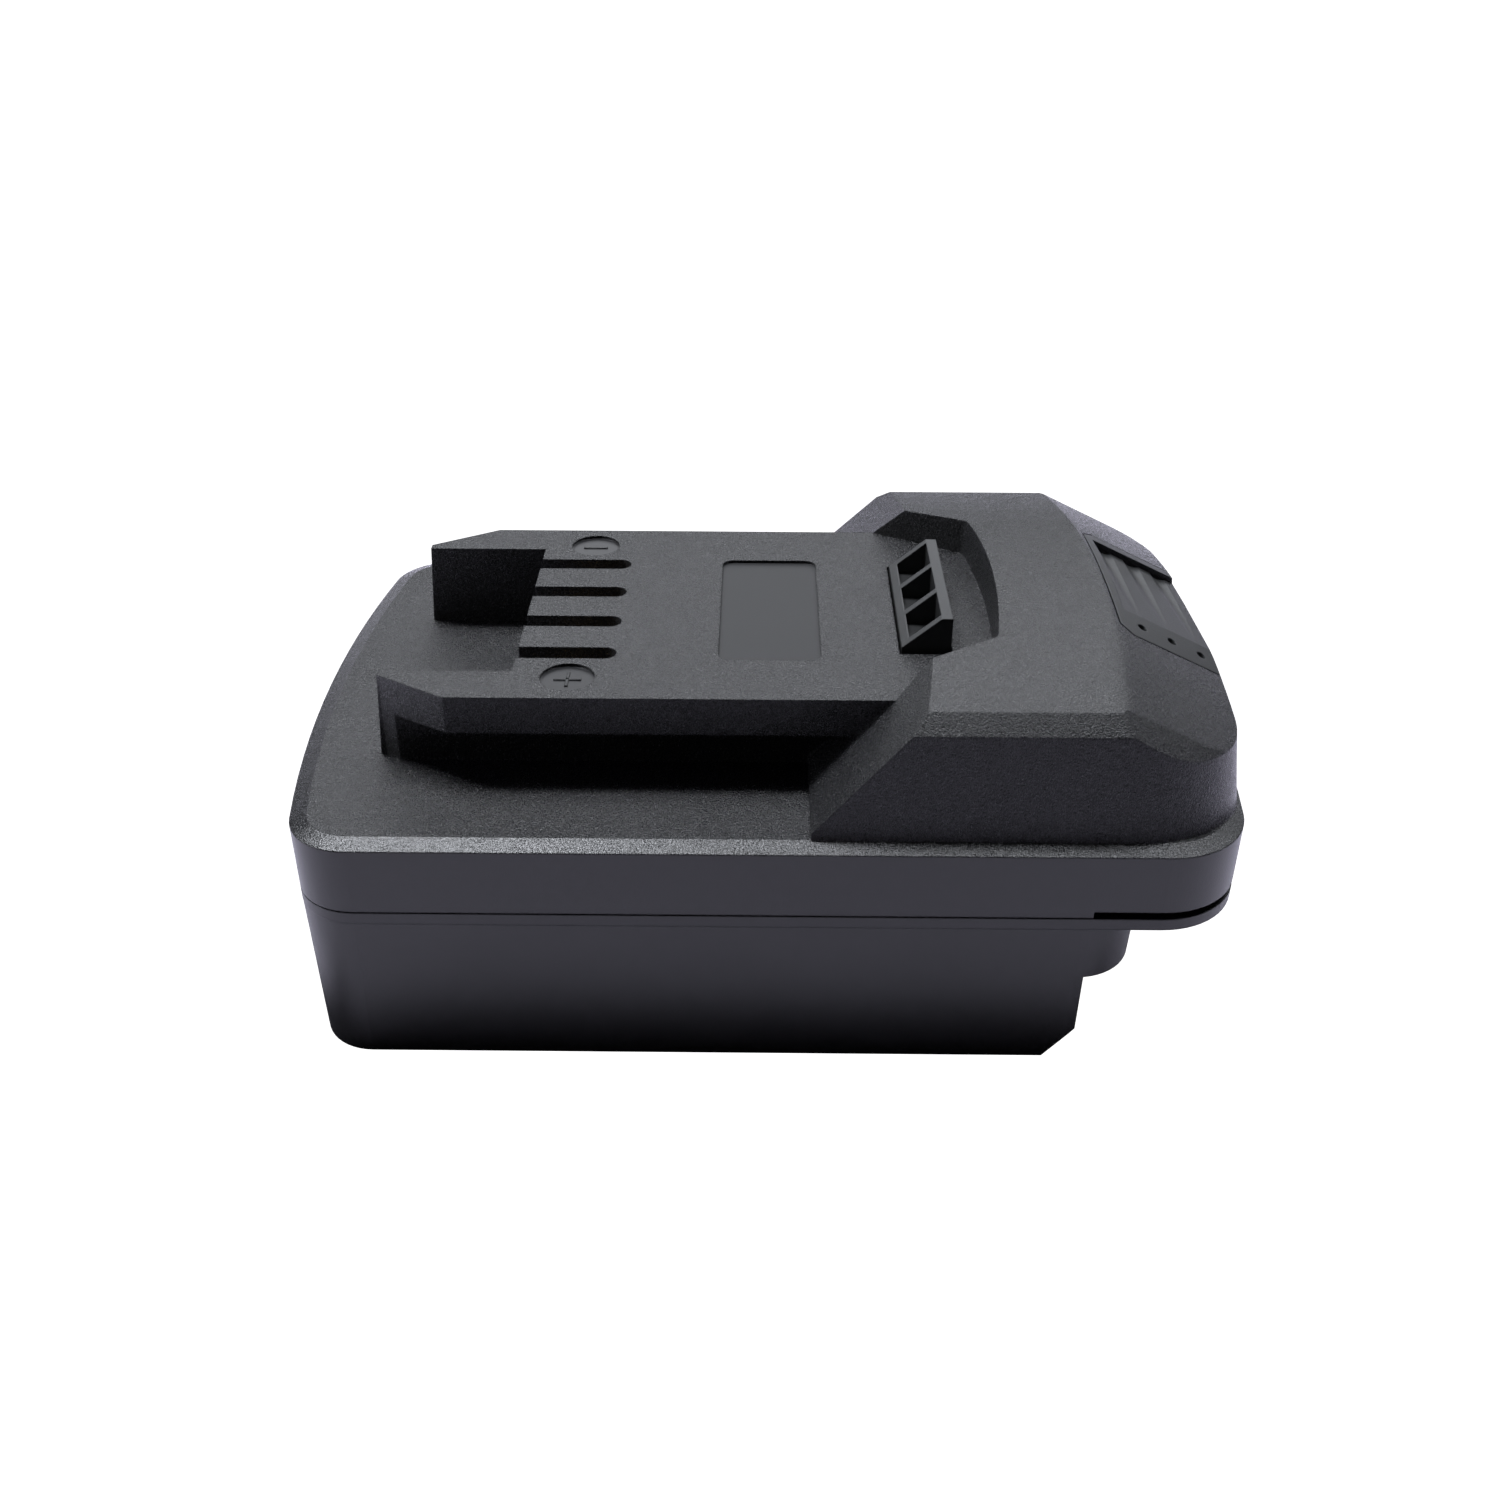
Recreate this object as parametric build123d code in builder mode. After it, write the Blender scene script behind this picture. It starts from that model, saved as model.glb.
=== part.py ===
from build123d import *
import os
from math import cos, hypot, pi, radians, sin, sqrt, tan

# A battery adapter for cordless tools. A tool slides onto the rails on its top, and a battery of
# another pattern slides into the receiver in its underside.
# X runs along the length, with the release button at the +X end. Z is up, and the origin is in
# the middle of the face that it rests on. Lengths are in millimetres and angles in degrees.

# Body
body_length = 118.5
body_width = 78.0
rear_bow = 3.8
front_bow = 3.4
rear_corner_r = 8.0
front_corner_r = 10.5
parting_z = 22.6
upper_wall_height = 9.6
deck_bevel = 2.2
deck_bevel_drop = 0.7
wall = 2.4
joint_groove = 0.35
joint_groove_height = 0.15
overrun = 5.0

# Clearances
slide_gap = 0.25
seat_gap = 0.2
fit_gap = 0.05

# Rails for the tool
rail_setback = 11.65
rail_end_lean = 0.75
rail_height = 11.4
rail_lead_length = 8.9
lip_thickness = 5.0
lip_half = 24.25
web_half = 20.0
horn_tip_half = 18.9
notch_length = 16.3
notch_half = 17.7
slot_count = 4
slot_pitch = 8.6
slot_width = 2.9
slot_length = 12.5
slot_depth = 8.0

# Shallow recesses in the rail plate
disc_offset = 7.0
disc_y = 19.05
disc_r = 3.35
label_offset = 31.7
label_length = 12.9
label_width = 28.9
label_corner_r = 1.5
recess_depth = 0.4

# Hump
hump_length = 54.0
hump_side_inset = 2.0
hump_end_inset = 1.35
hump_bow = 1.2
hump_side_draft = 11.5
hump_end_draft = 7.0
hump_foot_corner_r = 13.0
hump_top_corner_r = 12.0
hump_rise = 5.75
crown_r = 195.0
roof_half = 32.0
roof_bevel_share = 0.77
front_slope_length = 16.1
front_slope_angle = 25.9
front_slope_r = 153.5
slope_end_setback = 2.85
slope_flank_half = 24.9
slope_flank_share = 2.0
slope_end_share = 0.85
slope_corner_r = 4.0
slope_corner_share = 0.9
foot_step = 0.8
rear_slope_angle = 46.3

# Pocket behind the latch tooth
pocket_setback = 30.25
pocket_length = 16.5
pocket_bow = 1.25
pocket_rear_half = 25.6
pocket_corner_half = 17.0
pocket_corner_r = 1.0
pocket_draft = 3.0

# Latch slider, tooth and release button
tooth_setback = 5.85
tooth_length = 6.2
tooth_ridge = 1.4
tooth_toe_rise = 0.5
tooth_ridge_rise = 4.55
tooth_half = 11.9
tooth_rib = 1.2
tooth_rib_count = 4
tooth_land = 1.0
window_half = 12.6
latch_travel = 4.8
arm_thickness = 2.8
arm_half = 13.2
arm_neck_half = 11.6
arm_toe = 2.25
arm_setback = 7.4
guide_setback = 18.75
guide_length = 7.0
guide_thickness = 1.8
skirt_clearance = 0.8
button_fold_gap = 0.45
button_half = 14.7
button_corner_x = 1.5
button_corner_y = 1.5
button_wall = 2.0
skirt_gap = 0.6
button_rib_y = 6.0
button_rib = 1.6
button_pin_offset = 3.5
button_pin_y = 3.4
button_pin_r = 1.4
button_apron_drop = 5.4
scoop_rim = 1.3
scoop_near_y = -9.0
scoop_far_y = 12.4
scoop_depth = 0.7
flute_count = 3
flute_offset = 3.3
flute_pitch = 3.95
flute_r = 2.4
flute_depth = 0.35
dimple_y = -11.8
dimple_r = 0.65
dimple_depth = 0.5

# Latch springs
spring_setback = 10.3
spring_y = 8.0
spring_r = 2.5
spring_wire_r = 0.35
spring_turns = 6
spring_facet_count = 8
wire_facet_count = 6
peg_r = 1.7
peg_length = 3.0

# Lower housing with the battery receiver
flange_overhang = 12.05
lower_front_bow = 2.4
lower_corner_r = 8.0
lower_side_draw = 1.0
lower_rear_draw = 0.3
lower_front_draw = 0.8
receiver_ceiling_z = 13.3
receiver_wall = 4.4
receiver_end_wall = 11.25
receiver_opening = 8.5
receiver_lip = 4.6
receiver_lip_z = 4.2
lead_in_x = 3.7
lead_in_z = 4.7
lip_lead = 5.0
flange_thickness = 1.6
flange_gap = 1.0
flange_gap_depth = 1.7
locating_lip = 1.1
locating_lip_height = 1.5
catch_setback = 7.2
catch_length = 6.6
catch_half = 9.0
catch_depth = 5.2
catch_wall = 1.6

# Case screws
rear_screw_setback = 14.75
rear_screw_y = 27.0
front_screw_setback = 9.15
front_screw_y = 23.5
screw_head_r = 2.7
screw_head_height = 1.7
screw_shank_r = 1.35
screw_length = 13.0
screw_drive_width = 0.7
screw_drive_depth = 0.9
boss_r = 3.4
front_post_height = 6.0

# Circuit board and the pieces on it
board_end_gap = 0.6
board_arm_gap = 2.6
board_side_gap = 1.2
board_thickness = 1.6
board_screw_inset = 4.4
board_screw_y = 12.6
board_screw_head_r = 2.1
board_screw_head_height = 1.4
board_screw_shank_r = 1.0
board_screw_length = 7.0
board_boss_r = 2.7
transistor_inset = 11.0
transistor_pitch = 8.4
transistor_y = -4.5
transistor_length = 9.4
transistor_width = 6.6
transistor_height = 2.4
transistor_tab = 1.2
transistor_tab_height = 0.6
capacitor_inset = 18.6
capacitor_y = 9.6
capacitor_r = 4.0
capacitor_height = 7.6
capacitor_groove = 0.4
capacitor_groove_z = 1.2
capacitor_groove_height = 0.6

# Tool side contacts and their holder
holder_length = 15.6
holder_height = 8.6
holder_side_gap = 1.0
holder_end_wall = 1.8
channel_half = 1.95
channel_depth = 5.2
contact_thickness = 0.6
contact_headroom = 0.6
contact_mouth_gap = 0.5
contact_mouth_length = 2.5
contact_grip_length = 5.8
contact_back_gap = 0.6
contact_mouth_half = 1.45
contact_throat_half = 0.6
contact_back_half = 1.35
contact_bend_r = 0.8
contact_tail_width = 1.6
contact_tail_length = 0.9
holder_peg_offset = 7.2
holder_peg_r = 1.2

# Battery side blades and their block
block_setback = 2.9
block_length = 10.8
block_half = 19.6
block_drop = 7.9
block_flange = 2.0
block_flange_height = 2.2
hold_down_y = 17.6
hold_down_rib = 1.8
blade_pitch = 13.0
blade_thickness = 0.8
blade_headroom = 0.9
blade_height = 5.6
blade_reach = 11.2
blade_tip_chamfer = 1.2
blade_tail_inset = 3.6
blade_tail_width = 3.8
blade_tail_height = 2.1

# Leads from the blades to the board
power_lead_r = 0.9
signal_lead_r = 0.6
lead_facet_count = 12
lead_inset = 4.8
lead_y = 10.0
lead_run_share = 0.5
lead_bend_share = 0.9

# Places along the length
half_length = body_length / 2
rail_rear_x = rail_setback - half_length
rail_foot_x = rail_rear_x - rail_end_lean
rail_lead_x = rail_rear_x + rail_lead_length
notch_wall_x = rail_rear_x + notch_length
slot_end_x = notch_wall_x + slot_length
disc_x = notch_wall_x + disc_offset
label_x = notch_wall_x + label_offset
foot_x = half_length - hump_length
fold_x = half_length - front_slope_length
pocket_back_x = half_length - pocket_setback
pocket_corner_x = pocket_back_x - pocket_bow
pocket_rear_x = pocket_back_x - pocket_length
tooth_front_x = pocket_back_x - tooth_setback
tooth_rear_x = tooth_front_x - tooth_length
tooth_ridge_x = tooth_front_x - tooth_ridge
arm_rear_x = tooth_rear_x - arm_toe
arm_front_x = half_length - arm_setback
guide_front_x = half_length - guide_setback
guide_rear_x = guide_front_x - guide_length
button_rear_x = fold_x + button_fold_gap
button_pin_x = button_rear_x + button_pin_offset
scoop_rear_x = button_rear_x + scoop_rim
flute_first_x = button_rear_x + flute_offset
spring_x = half_length - spring_setback
lower_front_x = half_length - flange_overhang
receiver_front_x = lower_front_x - receiver_opening
receiver_rear_x = receiver_end_wall - half_length
catch_x = receiver_front_x - catch_setback
rear_screw_x = rear_screw_setback - half_length
front_screw_x = half_length - front_screw_setback
board_rear_x = notch_wall_x + wall + board_end_gap
board_front_x = arm_rear_x - board_arm_gap
board_screw_x = board_front_x - board_screw_inset
transistor_x = board_front_x - transistor_inset
capacitor_x = board_front_x - capacitor_inset
holder_rear_x = notch_wall_x + wall + seat_gap
holder_front_x = holder_rear_x + holder_length
channel_front_x = holder_front_x - holder_end_wall
contact_mouth_x = holder_rear_x + contact_mouth_gap
contact_throat_x = contact_mouth_x + contact_mouth_length
contact_bend_x = contact_throat_x + contact_grip_length
contact_back_x = channel_front_x - contact_back_gap
holder_peg_x = holder_rear_x + holder_peg_offset
block_rear_x = receiver_rear_x + block_setback
block_front_x = block_rear_x + block_length
blade_tip_x = block_front_x + blade_reach
blade_tail_rear_x = block_rear_x + blade_tail_inset
blade_tail_front_x = blade_tail_rear_x + blade_tail_width
lead_x = board_rear_x + lead_inset

# Distances to the sides
half_width = body_width / 2
hump_half = half_width - hump_side_inset
receiver_half = half_width - receiver_wall
receiver_lip_half = receiver_half - receiver_lip
holder_half = web_half - wall - holder_side_gap
board_half = web_half - wall - board_side_gap
lower_wall = wall + seat_gap + locating_lip
slot_ys = [(index - (slot_count - 1) / 2) * slot_pitch for index in range(slot_count)]
blade_ys = [-blade_pitch, 0, blade_pitch]

# Heights
deck_z = parting_z + upper_wall_height
plate_z = deck_z + rail_height
crown_z = plate_z + hump_rise
slot_floor_z = plate_z - slot_depth
lip_underside_z = plate_z - lip_thickness
plate_underside_z = plate_z - wall
deck_underside_z = deck_z - wall
arm_underside_z = plate_underside_z - arm_thickness
tooth_toe_z = plate_z + tooth_toe_rise
tooth_ridge_z = plate_z + tooth_ridge_rise
skirt_z = deck_z + skirt_clearance
button_apron_z = plate_z - button_apron_drop
board_top_z = plate_underside_z - holder_height
board_z = board_top_z - board_thickness
channel_floor_z = plate_underside_z - channel_depth
contact_height = channel_depth - contact_headroom
tray_floor_z = receiver_ceiling_z + wall
block_bottom_z = receiver_ceiling_z - block_drop
blade_top_z = receiver_ceiling_z - blade_headroom
blade_bottom_z = blade_top_z - blade_height
blade_tail_z = tray_floor_z + block_flange_height + blade_tail_height
lead_run_z = blade_tail_z + lead_run_share * (board_z - blade_tail_z)

# Places of the repeated features
case_screw_places = [
    (x, side * y, foot_z)
    for x, y, foot_z in (
        (rear_screw_x, rear_screw_y, parting_z),
        (front_screw_x, front_screw_y, parting_z + front_post_height),
    )
    for side in (-1, 1)
]
board_screw_places = [(board_screw_x, side * board_screw_y) for side in (-1, 1)]
button_pin_places = [(button_pin_x, side * button_pin_y) for side in (-1, 1)]
holder_peg_places = [(holder_peg_x, side * slot_pitch) for side in (-1, 1)]
spring_places = [(spring_x, side * spring_y) for side in (-1, 1)]

os.makedirs("parts", exist_ok=True)


def save(piece, label):
    """Labels a finished piece and writes it to its own file."""
    piece.part.label = label
    export_step(piece.part, f"parts/{label}.step")


def case_screw_seat(x):
    """Height of the face that a case screw's head bears on, above the floor it goes through."""
    floor_z = receiver_ceiling_z if x < 0 else parting_z - flange_thickness
    return floor_z + screw_head_height


def front_roof_z(x):
    """Height of the front slope on the centre line."""
    return crown_z - (x - fold_x) * tan(radians(front_slope_angle))


def plan_outline(rear_x, front_x, half, rear_r, front_r, rear_rise, front_rise):
    """Plan outline with straight sides, ends that bow out by their rise, and round corners."""
    with BuildSketch() as outline:
        with BuildLine():
            ThreePointArc((rear_x + rear_rise, half), (rear_x, 0), (rear_x + rear_rise, -half))
            Line((rear_x + rear_rise, -half), (front_x - front_rise, -half))
            ThreePointArc((front_x - front_rise, -half), (front_x, 0), (front_x - front_rise, half))
            Line((front_x - front_rise, half), (rear_x + rear_rise, half))
        make_face()
        fillet(outline.vertices().group_by(Axis.X)[0], rear_r)
        fillet(outline.vertices().group_by(Axis.X)[-1], front_r)
    return outline.sketch


def body_outline(inset):
    """Plan outline of the whole body, drawn in by inset."""
    return plan_outline(
        inset - half_length, half_length - inset, half_width - inset,
        rear_corner_r - inset, front_corner_r - inset, rear_bow, front_bow,
    )


def lower_outline(rear_draw, side_draw, front_draw):
    """Plan outline of the lower housing, drawn in by its own amount at each end and at the sides."""
    return plan_outline(
        rear_draw - half_length, lower_front_x - front_draw, half_width - side_draw,
        lower_corner_r - side_draw, lower_corner_r - side_draw, rear_bow, lower_front_bow,
    )


def pocket_outline():
    """Plan outline of the pocket that the tool's catch drops into."""
    with BuildSketch() as outline:
        with BuildLine():
            Line((pocket_rear_x, pocket_rear_half), (pocket_rear_x, -pocket_rear_half))
            Line((pocket_rear_x, -pocket_rear_half), (pocket_corner_x, -pocket_corner_half))
            ThreePointArc(
                (pocket_corner_x, -pocket_corner_half),
                (pocket_back_x, 0),
                (pocket_corner_x, pocket_corner_half),
            )
            Line((pocket_corner_x, pocket_corner_half), (pocket_rear_x, pocket_rear_half))
        make_face()
        fillet(outline.vertices().group_by(Axis.X)[-1], pocket_corner_r)
    return outline.sketch


def button_outline(gap):
    """Plan outline of the release button with its rear corners cut, grown by gap."""
    half = button_half + gap
    rear_x = button_rear_x - gap
    with BuildSketch() as outline:
        with BuildLine():
            Polyline(
                (rear_x, half - button_corner_y),
                (rear_x, button_corner_y - half),
                (rear_x + button_corner_x, -half),
                (half_length, -half),
                (half_length, half),
                (rear_x + button_corner_x, half),
                close=True,
            )
        make_face()
    return outline.sketch


def hump_outline(z, inset):
    """Plan outline of the hump's drafted walls at the height z, drawn in by inset."""
    rise = z - deck_z
    rise_share = rise / (crown_z - deck_z)
    corner_r = hump_foot_corner_r + rise_share * (hump_top_corner_r - hump_foot_corner_r)
    end_lean = rise * tan(radians(hump_end_draft))
    side_lean = rise * tan(radians(hump_side_draft))
    return plan_outline(
        foot_x - hump_bow - hump_foot_corner_r, half_length - hump_end_inset - end_lean - inset,
        hump_half - side_lean - inset, hump_foot_corner_r, corner_r - inset, hump_bow, hump_bow,
    )


def arch_drop(top_r, offset_y):
    """How far an arch of radius top_r lies below its crown at the distance offset_y to the side."""
    return top_r - sqrt(top_r**2 - offset_y**2)


def slope_section(distance, inset=0):
    """Plane square to the front slope, at a distance down it from the fold, drawn in by inset."""
    slope = radians(front_slope_angle)
    return Plane(
        (
            fold_x + distance * cos(slope) - inset * sin(slope),
            0,
            crown_z - distance * sin(slope) - inset * cos(slope),
        ),
        x_dir=(0, 1, 0),
        z_dir=(cos(slope), 0, -sin(slope)),
    )


def arched_face(plane, top_r, half, depth):
    """Face below an arch whose crown touches the plane's origin, with a bevel outside half."""
    drop = arch_drop(top_r, half)
    edge = half_width + overrun
    edge_drop = drop + (edge - half) * roof_bevel_share
    with BuildSketch(plane) as face:
        with BuildLine():
            ThreePointArc((-half, -drop), (0, 0), (half, -drop))
            Polyline(
                (half, -drop),
                (edge, -edge_drop),
                (edge, -depth),
                (-edge, -depth),
                (-edge, -edge_drop),
                (-half, -drop),
            )
        make_face()
    return face.sketch


def slope_rim(depth):
    """Outline of the front slope's bevelled rim in a plane at a depth below the slope."""
    front = (front_slope_length - slope_end_setback) / cos(radians(front_slope_angle))
    length = front + depth * slope_end_share + body_length
    with BuildSketch() as rim:
        with Locations((length / 2 - body_length, 0)):
            Rectangle(length, 2 * (slope_flank_half + depth * slope_flank_share))
        fillet(rim.vertices().group_by(Axis.X)[-1], slope_corner_r + depth * slope_corner_share)
    return rim.sketch


def slope_flanks():
    """Body whose flanks bevel the front slope's rim, wide along the sides and narrow at the end."""
    slope = radians(front_slope_angle)
    with BuildPart() as flanks:
        for depth in (0, body_length):
            rim_plane = Plane(
                (fold_x - depth * sin(slope), 0, crown_z - depth * cos(slope)),
                x_dir=(cos(slope), 0, -sin(slope)),
                z_dir=(sin(slope), 0, cos(slope)),
            )
            with BuildSketch(rim_plane):
                add(slope_rim(depth))
        loft(ruled=True)
    return flanks.part


def hump_form(inset):
    """Solid below the hump's roof, drawn in by inset. The outer form has the bevel round its top."""
    lean = radians(rear_slope_angle)
    slope_foot_x = foot_x + inset / sin(lean)
    slope_foot_z = deck_z + foot_step
    slope_top_z = crown_z + overrun
    slope_top_x = slope_foot_x + (slope_top_z - slope_foot_z) / tan(lean)
    crown_plane = Plane((0, 0, crown_z - inset), x_dir=(0, 1, 0), z_dir=(1, 0, 0))
    with BuildPart() as form:
        for z in (deck_underside_z, crown_z):
            with BuildSketch(Plane.XY.offset(z)):
                add(hump_outline(z, inset))
        loft(ruled=True)
        extrude(
            arched_face(crown_plane, crown_r - inset, roof_half - inset / 2, crown_z),
            amount=body_length, both=True, mode=Mode.INTERSECT,
        )
        extrude(
            arched_face(slope_section(0, inset), front_slope_r - inset, half_width, body_length),
            amount=body_length, both=True, mode=Mode.INTERSECT,
        )
        if inset == 0:
            add(slope_flanks(), mode=Mode.INTERSECT)
        with BuildSketch(Plane.XZ):
            with BuildLine():
                Polyline(
                    (slope_foot_x, deck_underside_z - overrun),
                    (slope_foot_x, slope_foot_z),
                    (slope_top_x, slope_top_z),
                    (-half_length, slope_top_z),
                    (-half_length, deck_underside_z - overrun),
                    close=True,
                )
            make_face()
        extrude(amount=body_width, both=True, mode=Mode.SUBTRACT)
    return form.part


def upper_hollow():
    """Space inside the upper housing, with its pocket walls, bosses and guide ribs left standing."""
    web_rear_x = notch_wall_x + wall
    with BuildPart() as hollow:
        with BuildSketch(Plane.XY.offset(parting_z - overrun)):
            add(body_outline(wall))
        extrude(amount=deck_underside_z - parting_z + overrun)
        with BuildSketch(Plane.XY.offset(deck_underside_z)):
            with Locations(((web_rear_x + tooth_rear_x) / 2, 0)):
                Rectangle(tooth_rear_x - web_rear_x, 2 * (web_half - wall))
        extrude(amount=plate_underside_z - deck_underside_z)
        add(hump_form(wall))
        with BuildSketch(Plane.XY.offset(plate_underside_z)):
            add(pocket_outline())
            offset(amount=wall)
        extrude(amount=crown_z - plate_underside_z, mode=Mode.SUBTRACT)
        with BuildSketch(Plane.XY.offset(skirt_z)):
            guide_y = arm_half + slide_gap + guide_thickness / 2
            with Locations(*[((guide_rear_x + guide_front_x) / 2, side * guide_y) for side in (-1, 1)]):
                Rectangle(guide_front_x - guide_rear_x, guide_thickness)
        extrude(amount=crown_z - skirt_z, mode=Mode.SUBTRACT)
        for x, y, foot_z in case_screw_places:
            with BuildSketch(Plane.XY.offset(foot_z)):
                with Locations((x, y)):
                    Circle(boss_r)
            extrude(amount=crown_z - foot_z, mode=Mode.SUBTRACT)
        with BuildSketch(Plane.XY.offset(board_top_z)):
            with Locations(*board_screw_places):
                Circle(board_boss_r)
        extrude(amount=plate_z - board_top_z, mode=Mode.SUBTRACT)
    return hollow.part


# Upper housing: deck, T rails, notch with four contact slots, hump, latch window and button opening
with BuildPart() as upper_housing:
    with BuildSketch(Plane.XY.offset(parting_z)):
        add(body_outline(0))
    extrude(amount=upper_wall_height)
    deck = upper_housing.faces().sort_by(Axis.Z)[-1]
    chamfer(deck.edges(), deck_bevel, deck_bevel_drop, reference=deck)
    rail_front_x = foot_x + (rail_height - foot_step) / tan(radians(rear_slope_angle)) + wall / 2
    with BuildSketch(Plane.YZ.offset(rail_foot_x)):
        with BuildLine():
            Polyline(
                (web_half, deck_underside_z),
                (web_half, lip_underside_z),
                (lip_half, lip_underside_z),
                (lip_half, plate_z),
                (-lip_half, plate_z),
                (-lip_half, lip_underside_z),
                (-web_half, lip_underside_z),
                (-web_half, deck_underside_z),
                close=True,
            )
        make_face()
    extrude(amount=rail_front_x - rail_foot_x)
    add(hump_form(0))
    with BuildSketch(Plane.XY.offset(deck_z)):
        with BuildLine():
            Polyline(
                (rail_rear_x, horn_tip_half),
                (rail_lead_x, lip_half),
                (rail_lead_x, lip_half + overrun),
                (rail_rear_x - overrun, lip_half + overrun),
                (rail_rear_x - overrun, horn_tip_half),
                close=True,
            )
        make_face()
        mirror(about=Plane.XZ)
    extrude(amount=rail_height + overrun, mode=Mode.SUBTRACT)
    with BuildSketch(Plane.XY.offset(deck_z)):
        with Locations(((rail_rear_x - overrun + notch_wall_x) / 2, 0)):
            Rectangle(notch_wall_x - rail_rear_x + overrun, 2 * notch_half)
    extrude(amount=rail_height + overrun, mode=Mode.SUBTRACT)
    with BuildSketch(Plane.XZ):
        with BuildLine():
            Polyline(
                (rail_foot_x, deck_z),
                (rail_rear_x, plate_z),
                (rail_rear_x, plate_z + overrun),
                (rail_foot_x - overrun, plate_z + overrun),
                (rail_foot_x - overrun, deck_z),
                close=True,
            )
        make_face()
    extrude(amount=half_width, both=True, mode=Mode.SUBTRACT)
    with BuildSketch(Plane.XY.offset(plate_z)):
        add(pocket_outline())
    extrude(amount=hump_rise + overrun, taper=-pocket_draft, mode=Mode.SUBTRACT)
    add(upper_hollow(), mode=Mode.SUBTRACT)
    with BuildSketch(Plane.XY.offset(slot_floor_z)):
        slot_rear_x = notch_wall_x - slot_width
        with Locations(*[((slot_rear_x + slot_end_x) / 2, y) for y in slot_ys]):
            SlotOverall(slot_end_x - slot_rear_x, slot_width)
    extrude(amount=slot_depth + overrun, mode=Mode.SUBTRACT)
    with BuildSketch(Plane.XY.offset(plate_z - recess_depth)):
        with Locations((disc_x, disc_y), (disc_x, -disc_y)):
            Circle(disc_r)
        with Locations((label_x, 0)):
            RectangleRounded(label_length, label_width, label_corner_r)
    extrude(amount=overrun, mode=Mode.SUBTRACT)
    with BuildSketch(Plane.XY.offset(plate_underside_z - overrun)):
        with Locations(((tooth_rear_x + tooth_front_x) / 2, 0)):
            Rectangle(tooth_front_x - tooth_rear_x + 2 * slide_gap, 2 * window_half)
    extrude(amount=wall + 2 * overrun, mode=Mode.SUBTRACT)
    with BuildSketch(Plane.XY.offset(button_apron_z - latch_travel - slide_gap)):
        add(button_outline(slide_gap))
    extrude(amount=crown_z, mode=Mode.SUBTRACT)
    for x, y, foot_z in case_screw_places:
        seat_z = case_screw_seat(x)
        with BuildSketch(Plane.XY.offset(foot_z)):
            with Locations((x, y)):
                Circle(screw_shank_r + fit_gap)
        extrude(amount=seat_z + screw_length + seat_gap - foot_z, mode=Mode.SUBTRACT)
    with BuildSketch(Plane.XY.offset(board_top_z)):
        with Locations(*board_screw_places):
            Circle(board_screw_shank_r + fit_gap)
    extrude(amount=board_screw_length - board_thickness + seat_gap, mode=Mode.SUBTRACT)
    with BuildSketch(Plane.XY.offset(parting_z)):
        add(body_outline(-overrun))
        add(body_outline(joint_groove), mode=Mode.SUBTRACT)
    extrude(amount=joint_groove_height, mode=Mode.SUBTRACT)
    with BuildSketch(Plane.XY.offset(parting_z)):
        add(body_outline(-overrun))
        add(body_outline(flange_gap_depth), mode=Mode.SUBTRACT)
        with Locations((receiver_front_x + half_length, 0)):
            Rectangle(body_length, 2 * body_width, mode=Mode.INTERSECT)
    extrude(amount=flange_gap, mode=Mode.SUBTRACT)
    with BuildSketch(Plane.XY.offset(tray_floor_z + block_flange_height)):
        with Locations(*[((block_rear_x + block_front_x) / 2, side * hold_down_y) for side in (-1, 1)]):
            Rectangle(block_front_x - block_rear_x, hold_down_rib)
    extrude(amount=deck_underside_z - tray_floor_z - block_flange_height)
save(upper_housing, "upper_housing")

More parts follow.
